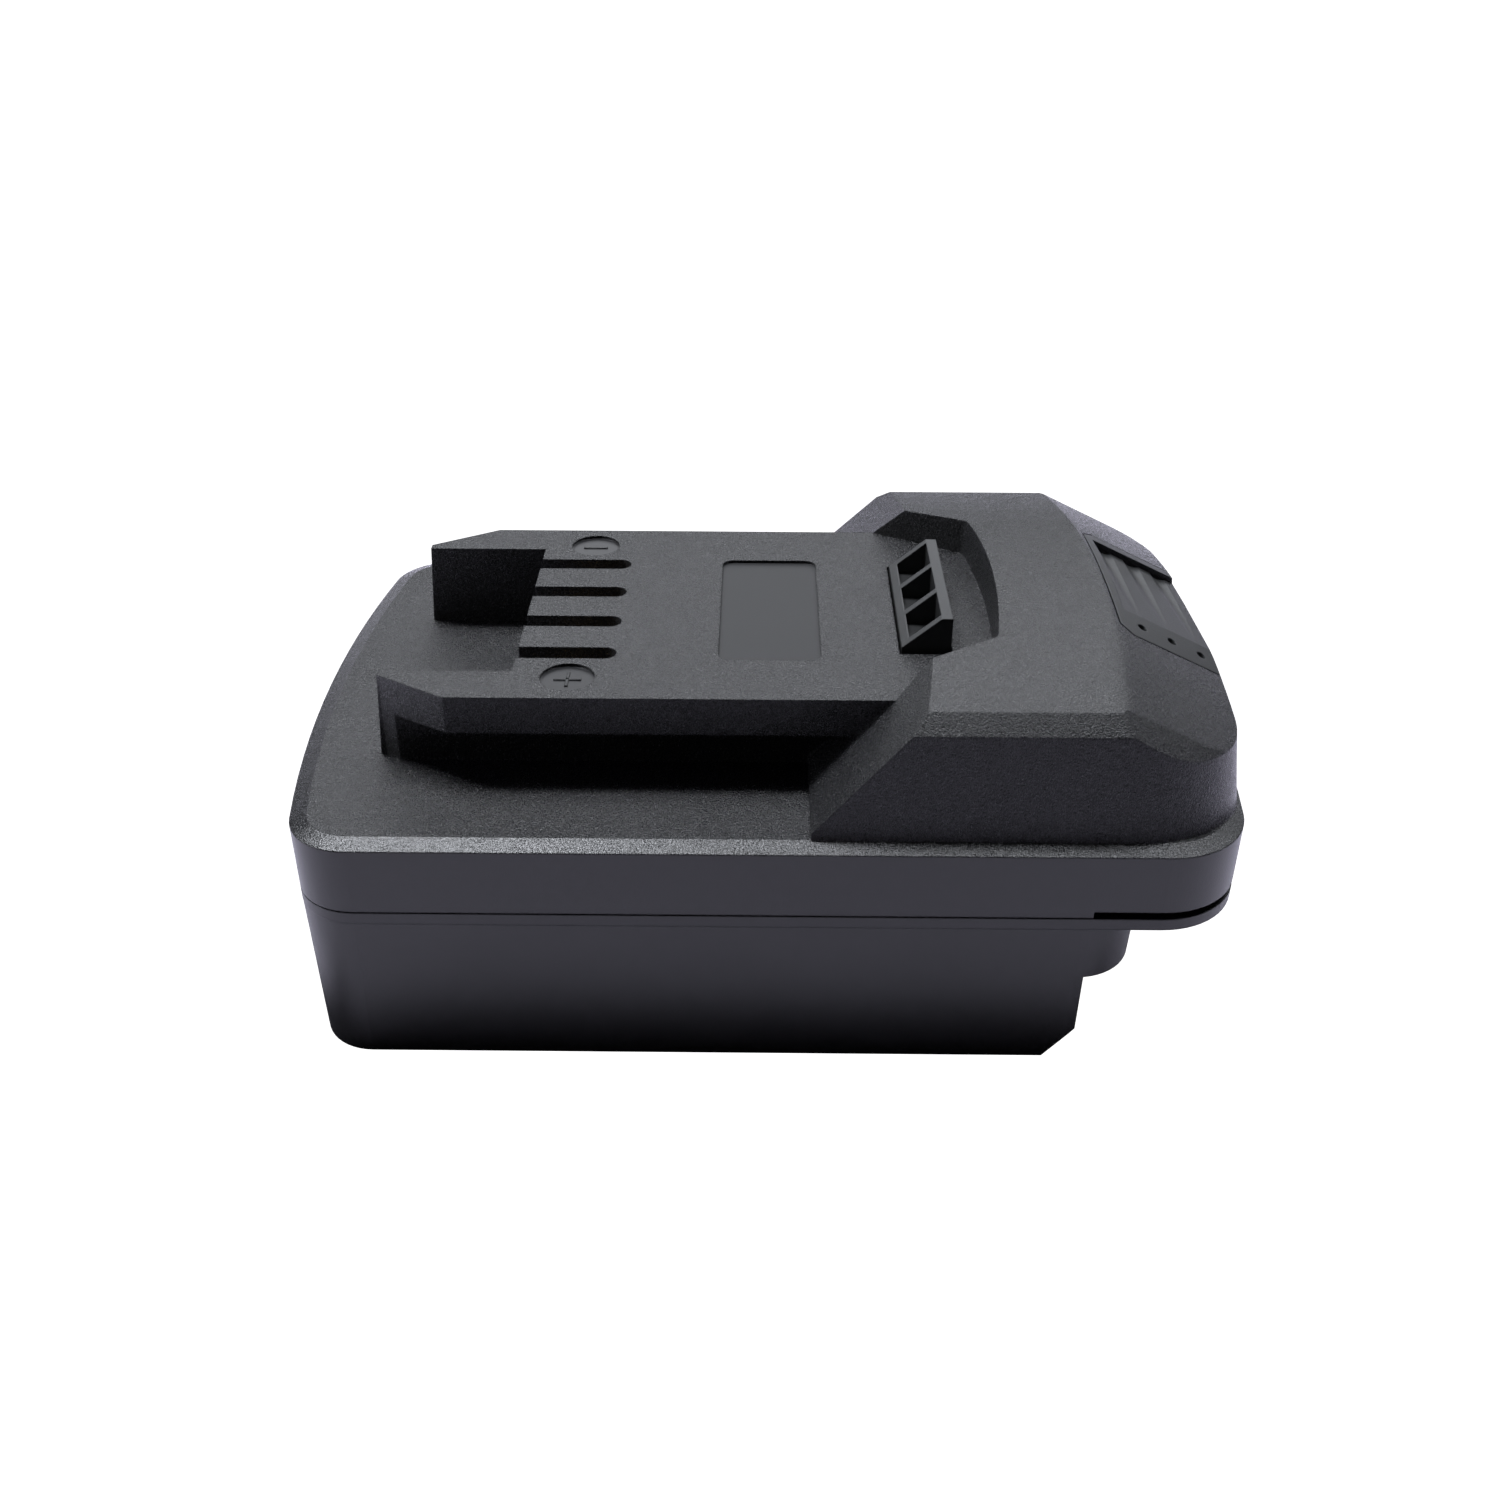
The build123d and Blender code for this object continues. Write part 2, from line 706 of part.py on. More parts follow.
# Lower housing: tapered tray, end flange, locating lip and the receiver with its guide lips
with BuildPart() as lower_housing:
    with BuildSketch(Plane.XY):
        add(lower_outline(lower_rear_draw, lower_side_draw, lower_front_draw))
    with BuildSketch(Plane.XY.offset(parting_z)):
        add(lower_outline(0, 0, 0))
    loft(ruled=True)
    with BuildSketch(Plane.XY.offset(parting_z - flange_thickness)):
        add(body_outline(0))
    extrude(amount=flange_thickness)
    with BuildSketch(Plane.XY.offset(tray_floor_z)):
        add(lower_outline(lower_wall, lower_wall, lower_wall))
    extrude(amount=parting_z - tray_floor_z, mode=Mode.SUBTRACT)
    with BuildSketch(Plane.XY.offset(parting_z)):
        add(body_outline(wall + seat_gap))
        add(body_outline(lower_wall), mode=Mode.SUBTRACT)
    extrude(amount=locating_lip_height)
    with BuildSketch(Plane.XZ):
        with BuildLine():
            Polyline(
                (receiver_front_x, receiver_ceiling_z),
                (receiver_front_x, lead_in_z),
                (receiver_front_x - lead_in_x, 0),
                (receiver_front_x - lead_in_x, -overrun),
                (half_length, -overrun),
                (half_length, receiver_ceiling_z),
                close=True,
            )
        make_face()
    extrude(amount=body_width, both=True, mode=Mode.SUBTRACT)
    with BuildSketch(Plane.XY.offset(receiver_lip_z)):
        with Locations(((receiver_rear_x + half_length) / 2, 0)):
            Rectangle(half_length - receiver_rear_x, 2 * receiver_half)
    extrude(amount=receiver_ceiling_z - receiver_lip_z, mode=Mode.SUBTRACT)
    with BuildSketch(Plane.XY.offset(-overrun)):
        with BuildLine():
            Polyline(
                (receiver_rear_x, receiver_lip_half),
                (receiver_rear_x, -receiver_lip_half),
                (receiver_front_x - lip_lead, -receiver_lip_half),
                (receiver_front_x, -receiver_half),
                (receiver_front_x, receiver_half),
                (receiver_front_x - lip_lead, receiver_lip_half),
                close=True,
            )
        make_face()
    extrude(amount=receiver_lip_z + overrun, mode=Mode.SUBTRACT)
    with BuildSketch(Plane.XY.offset(receiver_ceiling_z)):
        with Locations((catch_x + catch_length / 2, 0)):
            Rectangle(catch_length + 2 * catch_wall, 2 * (catch_half + catch_wall))
    extrude(amount=catch_depth + catch_wall)
    with BuildSketch(Plane.XY.offset(receiver_ceiling_z)):
        with Locations((catch_x + catch_length / 2, 0)):
            Rectangle(catch_length, 2 * catch_half)
    extrude(amount=catch_depth, mode=Mode.SUBTRACT)
    with BuildSketch(Plane.XY.offset(receiver_ceiling_z)):
        with Locations(((block_rear_x + block_front_x) / 2, 0)):
            Rectangle(block_front_x - block_rear_x + 2 * fit_gap, 2 * (block_half + fit_gap))
    extrude(amount=wall, mode=Mode.SUBTRACT)
    for x, y, foot_z in case_screw_places:
        floor_z = case_screw_seat(x) - screw_head_height
        with BuildSketch(Plane.XY.offset(floor_z)):
            with Locations((x, y)):
                Circle(boss_r)
        extrude(amount=foot_z - floor_z)
        with BuildSketch(Plane.XY.offset(floor_z)):
            with Locations((x, y)):
                Circle(screw_head_r + slide_gap)
        extrude(amount=screw_head_height, mode=Mode.SUBTRACT)
        with BuildSketch(Plane.XY.offset(floor_z)):
            with Locations((x, y)):
                Circle(screw_shank_r + slide_gap)
        extrude(amount=foot_z - floor_z, mode=Mode.SUBTRACT)
    with BuildSketch(Plane.XY.offset(parting_z)):
        with Locations(*spring_places):
            Circle(peg_r)
    extrude(amount=peg_length)
save(lower_housing, "lower_housing")

# Latch slider: arm that rides under the rail plate, with the ribbed tooth standing on it
with BuildPart() as latch_slider:
    with BuildSketch(Plane.XY.offset(arm_underside_z)):
        neck_x = button_rear_x - wall
        with Locations(((arm_rear_x + neck_x) / 2, 0)):
            Rectangle(neck_x - arm_rear_x, 2 * arm_half)
        with Locations(((neck_x + arm_front_x) / 2, 0)):
            Rectangle(arm_front_x - neck_x, 2 * arm_neck_half)
    extrude(amount=arm_thickness)
    with BuildSketch(Plane.XZ):
        with BuildLine():
            Polyline(
                (tooth_rear_x, plate_underside_z),
                (tooth_front_x, plate_underside_z),
                (tooth_front_x, tooth_ridge_z),
                (tooth_ridge_x, tooth_ridge_z),
                (tooth_rear_x, tooth_toe_z),
                close=True,
            )
        make_face()
    extrude(amount=tooth_half, both=True)
    bay_count = tooth_rib_count - 1
    bay_width = (2 * tooth_half - tooth_rib_count * tooth_rib) / bay_count
    with BuildSketch(Plane.XY.offset(plate_z)):
        bay_rear_x = tooth_rear_x + tooth_land
        with Locations(((bay_rear_x + tooth_ridge_x) / 2, 0)):
            with GridLocations(0, bay_width + tooth_rib, 1, bay_count):
                Rectangle(tooth_ridge_x - bay_rear_x, bay_width)
    extrude(amount=tooth_ridge_z - plate_z, mode=Mode.SUBTRACT)
    with BuildSketch(Plane.XY.offset(arm_underside_z)):
        with Locations(*spring_places):
            Circle(peg_r)
    extrude(amount=-peg_length)
    with BuildSketch(Plane.XY.offset(arm_underside_z)):
        with Locations(*button_pin_places):
            Circle(button_pin_r + fit_gap)
    extrude(amount=arm_thickness, mode=Mode.SUBTRACT)
save(latch_slider, "latch_slider")

# Release button: a cap that carries on the front slope and the end wall, hollow over the arm
with BuildPart() as release_button:
    with BuildSketch(Plane.XY.offset(button_apron_z)):
        add(button_outline(0))
    extrude(amount=crown_z - button_apron_z)
    add(hump_form(0), mode=Mode.INTERSECT)
    with BuildSketch(Plane.XY.offset(skirt_z)):
        add(button_outline(0))
        add(hump_outline(button_apron_z, wall + skirt_gap), mode=Mode.INTERSECT)
    extrude(amount=button_apron_z - skirt_z)
    with BuildSketch(Plane.XY.offset(skirt_z)):
        add(button_outline(-button_wall))
        add(hump_outline(button_apron_z, wall + skirt_gap + button_wall), mode=Mode.INTERSECT)
    extrude(amount=plate_underside_z - skirt_z, mode=Mode.SUBTRACT)
    with BuildSketch(Plane.XY.offset(skirt_z)):
        with Locations((button_rear_x, 0)):
            Rectangle(2 * button_wall + overrun, 2 * (arm_neck_half + slide_gap))
    extrude(amount=plate_underside_z - skirt_z, mode=Mode.SUBTRACT)
    with BuildPart(mode=Mode.PRIVATE) as bays:
        with BuildSketch(Plane.XY.offset(plate_underside_z)):
            add(button_outline(-button_wall))
            add(hump_outline(button_apron_z, wall + skirt_gap + button_wall), mode=Mode.INTERSECT)
            with Locations(*[((button_rear_x + half_length) / 2, side * button_rib_y) for side in (-1, 1)]):
                Rectangle(half_length - button_rear_x, button_rib, mode=Mode.SUBTRACT)
        extrude(amount=crown_z - plate_underside_z)
        add(hump_form(button_wall), mode=Mode.INTERSECT)
    add(bays.part, mode=Mode.SUBTRACT)
    with BuildSketch(Plane.XY.offset(arm_underside_z)):
        with Locations(*button_pin_places):
            Circle(button_pin_r)
    extrude(amount=front_roof_z(button_pin_x) - button_wall / 2 - arm_underside_z)
    with BuildSketch(slope_section((scoop_rear_x - fold_x) / cos(radians(front_slope_angle)))):
        with BuildLine():
            near_drop = arch_drop(front_slope_r, scoop_near_y)
            far_drop = arch_drop(front_slope_r, scoop_far_y) + scoop_depth
            Polyline(
                (scoop_near_y, -near_drop),
                (scoop_far_y, -far_drop),
                (scoop_far_y, overrun),
                (scoop_near_y, overrun),
                close=True,
            )
        make_face()
    extrude(amount=half_length, mode=Mode.SUBTRACT)
    for index in range(flute_count):
        flute_x = flute_first_x + index * flute_pitch
        section = slope_section((flute_x - fold_x) / cos(radians(front_slope_angle)))
        near_end = section.from_local_coords(Vector(scoop_near_y, flute_r - near_drop))
        far_end = section.from_local_coords(Vector(scoop_far_y, flute_r - far_drop - flute_depth))
        with BuildSketch(Plane(near_end, x_dir=section.z_dir, z_dir=far_end - near_end)):
            Circle(flute_r)
        extrude(amount=(far_end - near_end).length, mode=Mode.SUBTRACT)
        dimple_foot = section.from_local_coords(
            Vector(dimple_y, -arch_drop(front_slope_r, dimple_y) - dimple_depth),
        )
        with BuildSketch(Plane(dimple_foot, z_dir=section.y_dir)):
            Circle(dimple_r)
        extrude(amount=overrun, mode=Mode.SUBTRACT)
save(release_button, "release_button")

# Latch springs: two compression springs between the flange plate and the arm
for label, side in (("latch_spring_left", 1), ("latch_spring_right", -1)):
    first_z = parting_z + spring_wire_r + fit_gap
    last_z = arm_underside_z - spring_wire_r - fit_gap
    point_count = spring_turns * spring_facet_count
    coil_points = [
        (
            spring_x + spring_r * cos(2 * pi * index / spring_facet_count),
            side * spring_y + spring_r * sin(2 * pi * index / spring_facet_count),
            first_z + index / point_count * (last_z - first_z),
        )
        for index in range(point_count + 1)
    ]
    with BuildPart() as latch_spring:
        with BuildLine() as coil:
            Polyline(*coil_points)
        with BuildSketch(Plane(coil.line @ 0, z_dir=coil.line % 0)):
            RegularPolygon(spring_wire_r, wire_facet_count)
        sweep(transition=Transition.RIGHT)
    save(latch_spring, label)

# Terminal holder: insulating block with one open channel under each slot in the rail plate
with BuildPart() as terminal_holder:
    with BuildSketch(Plane.XY.offset(board_top_z)):
        with Locations(((holder_rear_x + holder_front_x) / 2, 0)):
            Rectangle(holder_front_x - holder_rear_x, 2 * holder_half)
    extrude(amount=plate_underside_z - board_top_z)
    with BuildSketch(Plane.XY.offset(channel_floor_z)):
        with Locations(*[((holder_rear_x + channel_front_x) / 2, y) for y in slot_ys]):
            Rectangle(channel_front_x - holder_rear_x, 2 * channel_half)
    extrude(amount=plate_underside_z - channel_floor_z, mode=Mode.SUBTRACT)
    with BuildSketch(Plane.XY.offset(board_top_z)):
        with Locations(*[(contact_back_x, y) for y in slot_ys]):
            Rectangle(contact_thickness + 2 * fit_gap, contact_tail_width + 2 * fit_gap)
    extrude(amount=channel_floor_z - board_top_z, mode=Mode.SUBTRACT)
    with BuildSketch(Plane.XY.offset(board_z)):
        with Locations(*holder_peg_places):
            Circle(holder_peg_r)
    extrude(amount=board_thickness)
save(terminal_holder, "terminal_holder")

# Tool side contacts: each is one strip bent into a fork that grips a blade, with a tail to the board
contact_labels = ("positive_contact", "signal_contact_right", "signal_contact_left", "negative_contact")
for label, y in zip(contact_labels, slot_ys):
    fork_path = [
        (contact_mouth_x, contact_mouth_half),
        (contact_throat_x, contact_throat_half),
        (contact_bend_x, contact_back_half),
        (contact_back_x, contact_back_half),
    ]
    fork_path += [(x, -half) for x, half in reversed(fork_path)]
    fork_plane = Plane((0, y, channel_floor_z))
    with BuildPart() as contact:
        with BuildSketch(fork_plane):
            with BuildLine():
                FilletPolyline(*fork_path, radius=contact_bend_r)
            trace(line_width=contact_thickness)
        extrude(amount=contact_height)
        with BuildSketch(fork_plane):
            with Locations((contact_back_x, 0)):
                Rectangle(contact_thickness, contact_tail_width)
        extrude(amount=board_z - contact_tail_length - channel_floor_z)
    save(contact, label)

# Circuit board
with BuildPart() as circuit_board:
    with BuildSketch(Plane.XY.offset(board_z)):
        with Locations(((board_rear_x + board_front_x) / 2, 0)):
            Rectangle(board_front_x - board_rear_x, 2 * board_half)
        with Locations(*board_screw_places):
            Circle(board_screw_shank_r + fit_gap, mode=Mode.SUBTRACT)
        with Locations(*holder_peg_places):
            Circle(holder_peg_r + fit_gap, mode=Mode.SUBTRACT)
        with Locations(*[(contact_back_x, y) for y in slot_ys]):
            Rectangle(
                contact_thickness + 2 * fit_gap, contact_tail_width + 2 * fit_gap, mode=Mode.SUBTRACT,
            )
    extrude(amount=board_thickness)
save(circuit_board, "circuit_board")

# Power transistors that switch the current, flat on the board
with BuildPart() as power_transistors:
    for x in (transistor_x - transistor_pitch / 2, transistor_x + transistor_pitch / 2):
        with BuildSketch(Plane.XY.offset(board_top_z)):
            with Locations((x, transistor_y)):
                Rectangle(transistor_width, transistor_length)
        extrude(amount=transistor_height)
        with BuildSketch(Plane.XY.offset(board_top_z)):
            with Locations((x, transistor_y + transistor_length / 2 + transistor_tab / 2)):
                Rectangle(transistor_width - transistor_tab, transistor_tab)
        extrude(amount=transistor_tab_height)
save(power_transistors, "power_transistors")

# Capacitor with the crimp groove round its can
with BuildPart() as capacitor:
    with BuildSketch(Plane.XY.offset(board_top_z)):
        with Locations((capacitor_x, capacitor_y)):
            Circle(capacitor_r)
    extrude(amount=capacitor_height)
    with BuildSketch(Plane.XY.offset(board_top_z + capacitor_groove_z)):
        with Locations((capacitor_x, capacitor_y)):
            Circle(capacitor_r + capacitor_groove)
            Circle(capacitor_r - capacitor_groove, mode=Mode.SUBTRACT)
    extrude(amount=capacitor_groove_height, mode=Mode.SUBTRACT)
save(capacitor, "capacitor")


def blade_outline():
    """Side outline of a battery blade: tongue into the receiver, and tail up to the lead."""
    with BuildSketch(Plane.XZ) as outline:
        with BuildLine():
            Polyline(
                (blade_tail_rear_x, blade_bottom_z),
                (blade_tip_x - blade_tip_chamfer, blade_bottom_z),
                (blade_tip_x, blade_bottom_z + blade_tip_chamfer),
                (blade_tip_x, blade_top_z - blade_tip_chamfer),
                (blade_tip_x - blade_tip_chamfer, blade_top_z),
                (blade_tail_front_x, blade_top_z),
                (blade_tail_front_x, blade_tail_z),
                (blade_tail_rear_x, blade_tail_z),
                close=True,
            )
        make_face()
    return outline.sketch


# Blade block: carries the three blades and hangs through the receiver's ceiling by its flange
with BuildPart() as blade_block:
    block_x = (block_rear_x + block_front_x) / 2
    with BuildSketch(Plane.XY.offset(block_bottom_z)):
        with Locations((block_x, 0)):
            Rectangle(block_length, 2 * block_half)
    extrude(amount=tray_floor_z - block_bottom_z)
    with BuildSketch(Plane.XY.offset(tray_floor_z)):
        with Locations((block_x, 0)):
            Rectangle(block_length + 2 * block_flange, 2 * (block_half + block_flange))
    extrude(amount=block_flange_height)
    for y in blade_ys:
        with BuildSketch(Plane.XZ.offset(-y)):
            add(blade_outline())
            offset(amount=fit_gap, kind=Kind.INTERSECTION)
        extrude(amount=blade_thickness / 2 + fit_gap, both=True, mode=Mode.SUBTRACT)
save(blade_block, "blade_block")

# Blades that plug into the battery
for label, y in zip(("positive_blade", "signal_blade", "negative_blade"), blade_ys):
    with BuildPart() as blade:
        with BuildSketch(Plane.XZ.offset(-y)):
            add(blade_outline())
        extrude(amount=blade_thickness / 2, both=True)
    save(blade, label)

# Leads from the blade tails to the underside of the board
lead_table = (
    ("positive_lead", -1, power_lead_r),
    ("signal_lead", 0, signal_lead_r),
    ("negative_lead", 1, power_lead_r),
)
for label, side, lead_r in lead_table:
    tail_x = (blade_tail_rear_x + blade_tail_front_x) / 2
    lead_route = [
        (tail_x, side * blade_pitch, blade_tail_z),
        (tail_x, side * blade_pitch, lead_run_z),
        (lead_x, side * lead_y, lead_run_z),
        (lead_x, side * lead_y, board_z),
    ]
    bend_radii = [
        lead_bend_share * (lead_run_z - blade_tail_z),
        lead_bend_share * (board_z - lead_run_z),
    ]
    with BuildPart() as lead:
        with BuildLine() as centre_line:
            FilletPolyline(*lead_route, radius=bend_radii)
        with BuildSketch(Plane(centre_line.line @ 0, z_dir=centre_line.line % 0)) as section:
            RegularPolygon(lead_r, lead_facet_count)
        sweep()
    save(lead, label)
    route_length = sum(edge.length for edge in centre_line.line.edges())
    share = lead.part.volume / (section.sketch.area * route_length)
    print(label, "bend radii", bend_radii, "volume to section times length", round(share, 4))


def screw_form(head_r, head_height, shank_r, length):
    """Pan head screw that stands head down with the head's bearing face at z = 0."""
    with BuildPart() as form:
        with BuildSketch(Plane.XY.offset(-head_height)):
            Circle(head_r)
        extrude(amount=head_height)
        with BuildSketch():
            Circle(shank_r)
        extrude(amount=length)
        tip = form.edges().filter_by(GeomType.CIRCLE).sort_by(Axis.Z)[-1]
        chamfer(tip, shank_r / 2)
        with BuildSketch(Plane.XY.offset(-head_height)):
            Rectangle(head_r, screw_drive_width)
            Rectangle(screw_drive_width, head_r)
        extrude(amount=screw_drive_depth, mode=Mode.SUBTRACT)
    return form.part


# Case screws: up through the lower housing into the upper housing's bosses
with BuildPart() as case_screws:
    for x, y, foot_z in case_screw_places:
        with Locations((x, y, case_screw_seat(x))):
            add(screw_form(screw_head_r, screw_head_height, screw_shank_r, screw_length))
save(case_screws, "case_screws")

# Board screws: up through the board into the bosses under the rail plate
with BuildPart() as board_screws:
    for x, y in board_screw_places:
        with Locations((x, y, board_z)):
            add(
                screw_form(
                    board_screw_head_r, board_screw_head_height, board_screw_shank_r, board_screw_length,
                )
            )
save(board_screws, "board_screws")
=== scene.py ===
from math import copysign, cos, radians, sin

import bmesh
import bpy
from mathutils import Matrix, Vector


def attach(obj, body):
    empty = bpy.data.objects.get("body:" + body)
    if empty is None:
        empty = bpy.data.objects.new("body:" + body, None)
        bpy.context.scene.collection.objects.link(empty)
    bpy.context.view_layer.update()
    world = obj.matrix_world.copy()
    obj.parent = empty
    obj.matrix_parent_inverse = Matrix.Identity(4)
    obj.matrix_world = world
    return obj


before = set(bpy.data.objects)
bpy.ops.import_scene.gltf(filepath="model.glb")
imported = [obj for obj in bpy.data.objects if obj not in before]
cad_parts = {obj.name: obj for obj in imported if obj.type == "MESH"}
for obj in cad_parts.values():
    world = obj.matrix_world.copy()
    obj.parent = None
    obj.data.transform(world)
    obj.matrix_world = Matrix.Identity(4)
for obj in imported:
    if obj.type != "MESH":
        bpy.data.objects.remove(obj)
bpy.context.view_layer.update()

# Lengths below are in millimetres
mm = 0.001

# Camera
camera_place = Vector((-1.09, -183.54, 136.455)) * mm
camera_pitch = radians(32.098)
camera_yaw = radians(-0.312)
camera_roll = radians(0.273)
camera_lens = 37.2
camera_sensor = 36.0
camera_clip = 1.0

# Floors: the pale one is only seen, the other is only reflected by the object
floor_z = -0.05
floor_half = 3000.0
backdrop_height = 1000.0
floor_colour = (0.9, 0.9, 0.9)
floor_glow = 1.4
floor_roughness = 0.9
floor_patch_size = 400.0
floor_patches = 0.01
bounce_low = (-550.0, -200.0)
bounce_high = (550.0, 600.0)
bounce_colour = (0.83, 0.79, 0.92)
bounce_glow = 0.06
foot_low = (-59.0, -38.5)
foot_high = (47.0, 38.5)
contact_shade = 0.06
contact_shade_width = 13.0

# Soft boxes around the object, and the sky's gradient from straight down to straight up
lights = {
    "overhead_strip": {"azimuth": 90, "elevation": 78, "distance": 700, "size": (1000, 80), "watts": 4.1},
    "key_box": {"azimuth": 140, "elevation": 64, "distance": 700, "size": (300, 200), "watts": 3.25},
    "back_box": {"azimuth": 90, "elevation": 34, "distance": 700, "size": (900, 200), "watts": 0.75},
    "back_low_box": {"azimuth": 90, "elevation": 19, "distance": 700, "size": (1000, 180), "watts": 1.0},
    "left_low_box": {"azimuth": 180, "elevation": 10, "distance": 700, "size": (600, 240), "watts": 0.8},
    "back_right_box": {"azimuth": 45, "elevation": 40, "distance": 700, "size": (400, 400), "watts": 0.7},
}
light_colour = (0.97, 1.0, 1.06)
light_target = Vector((0, 0, 25)) * mm
sky_strength = 0.03
sky_colours = (
    (0.0, (0.02, 0.02, 0.021, 1)),
    (0.5, (0.18, 0.18, 0.185, 1)),
    (0.62, (0.55, 0.56, 0.57, 1)),
    (1.0, (1.0, 1.0, 1.0, 1)),
)

# Places on the housing that have a finish or a sign of their own
around_low = (-60.0, -40.0)
around_high = (60.0, 40.0)
parting_z = 22.6
parting_overrun = 1.0
rim_z = 31.5
rim_gap = 0.05
deck_z = 32.2
bevel_gap = 0.02
plate_z = 43.6
recess_depth = 0.4
label_low = (-6.1, -14.5, 43.0)
label_high = (6.9, 14.5, 43.35)
disc_x = -24.3
disc_y = 19.05
disc_r = 3.35
disc_gap = 0.05
fold_x = 43.15
fold_reach = 5.0
fold_y = (15.6, 31.0)
fold_z = (42.0, 50.0)
fold_r = 2.6

# Signs
sign_length = 3.4
sign_stroke = 0.42
sign_height = 0.14
sign_edge = 0.05

# Noise, grain and softened edges of all finishes
noise_detail = 2.0
noise_roughness = 0.6
noise_middle = (0.3, 0.7)
patch_size = 14.0
grain_size = 0.3
fine_grain_size = 0.15
fine_grain_share = 0.5
edge_r = 0.3
edge_samples = 4

# Finish of the upper housing
textured_black = (0.009, 0.009, 0.0098, 1)
smooth_black = (0.010, 0.010, 0.011, 1)
housing_patches = 0.1
grain_height = 0.14
textured_relief = 1.0
smooth_relief = 0.1
bevel_relief = 0.45
textured_roughness = 0.30
smooth_roughness = 0.34
bevel_roughness = 0.15
label_roughness = 0.55
speck_size = 0.24
speck_gloss = 0.18
speck_shade = (0.45, 1.7)

# Finishes of moulded plastic, with their own relief or changes of shade and gloss where a finish has them
satin_black = (0.020, 0.0205, 0.021)
moulded_height = 0.05
moulded = {
    "lower_black": {
        "colour": smooth_black[:3], "roughness": 0.35, "relief": 0.12, "patches": 0.15, "gloss": 0.03,
    },
    "button_black": {"colour": satin_black, "roughness": 0.40, "relief": 0.35},
    "latch_black": {"colour": satin_black, "roughness": 0.38, "relief": 0.2},
    "holder_black": {"colour": (0.02, 0.02, 0.02), "roughness": 0.5},
    "board_green": {"colour": (0.01, 0.12, 0.04), "roughness": 0.35, "relief": 0.1},
    "component_black": {"colour": (0.02, 0.02, 0.022), "roughness": 0.5},
    "insulation_red": {"colour": (0.4, 0.015, 0.012), "roughness": 0.45},
    "insulation_black": {"colour": (0.012, 0.012, 0.012), "roughness": 0.45},
    "insulation_white": {"colour": (0.6, 0.6, 0.57), "roughness": 0.45},
}

# Finishes of drawn or rolled metal, with fine lines along the stretched direction
line_size = 0.4
line_relief = 0.15
line_height = 0.02
line_shade = (0.85, 1.1)
line_gloss = (-0.06, 0.08)
metals = {
    "contact_brass": {"colour": (0.72, 0.52, 0.27), "roughness": 0.3, "stretch": (0.05, 1, 1)},
    "spring_steel": {"colour": (0.55, 0.55, 0.56), "roughness": 0.3},
    "screw_steel": {"colour": (0.22, 0.22, 0.23), "roughness": 0.35},
    "can_aluminium": {"colour": (0.6, 0.6, 0.62), "roughness": 0.35, "stretch": (1, 1, 0.05)},
}

# CAD nodes that have each finish
dressed = {
    "housing_black": ("upper_housing",),
    "lower_black": ("lower_housing",),
    "button_black": ("release_button",),
    "latch_black": ("latch_slider",),
    "holder_black": ("terminal_holder", "blade_block"),
    "board_green": ("circuit_board",),
    "component_black": ("power_transistors",),
    "can_aluminium": ("capacitor",),
    "insulation_red": ("positive_lead",),
    "insulation_white": ("signal_lead",),
    "insulation_black": ("negative_lead",),
    "contact_brass": (
        "positive_contact", "signal_contact_right", "signal_contact_left", "negative_contact",
        "positive_blade", "signal_blade", "negative_blade",
    ),
    "spring_steel": ("latch_spring_left", "latch_spring_right"),
    "screw_steel": ("case_screws", "board_screws"),
}


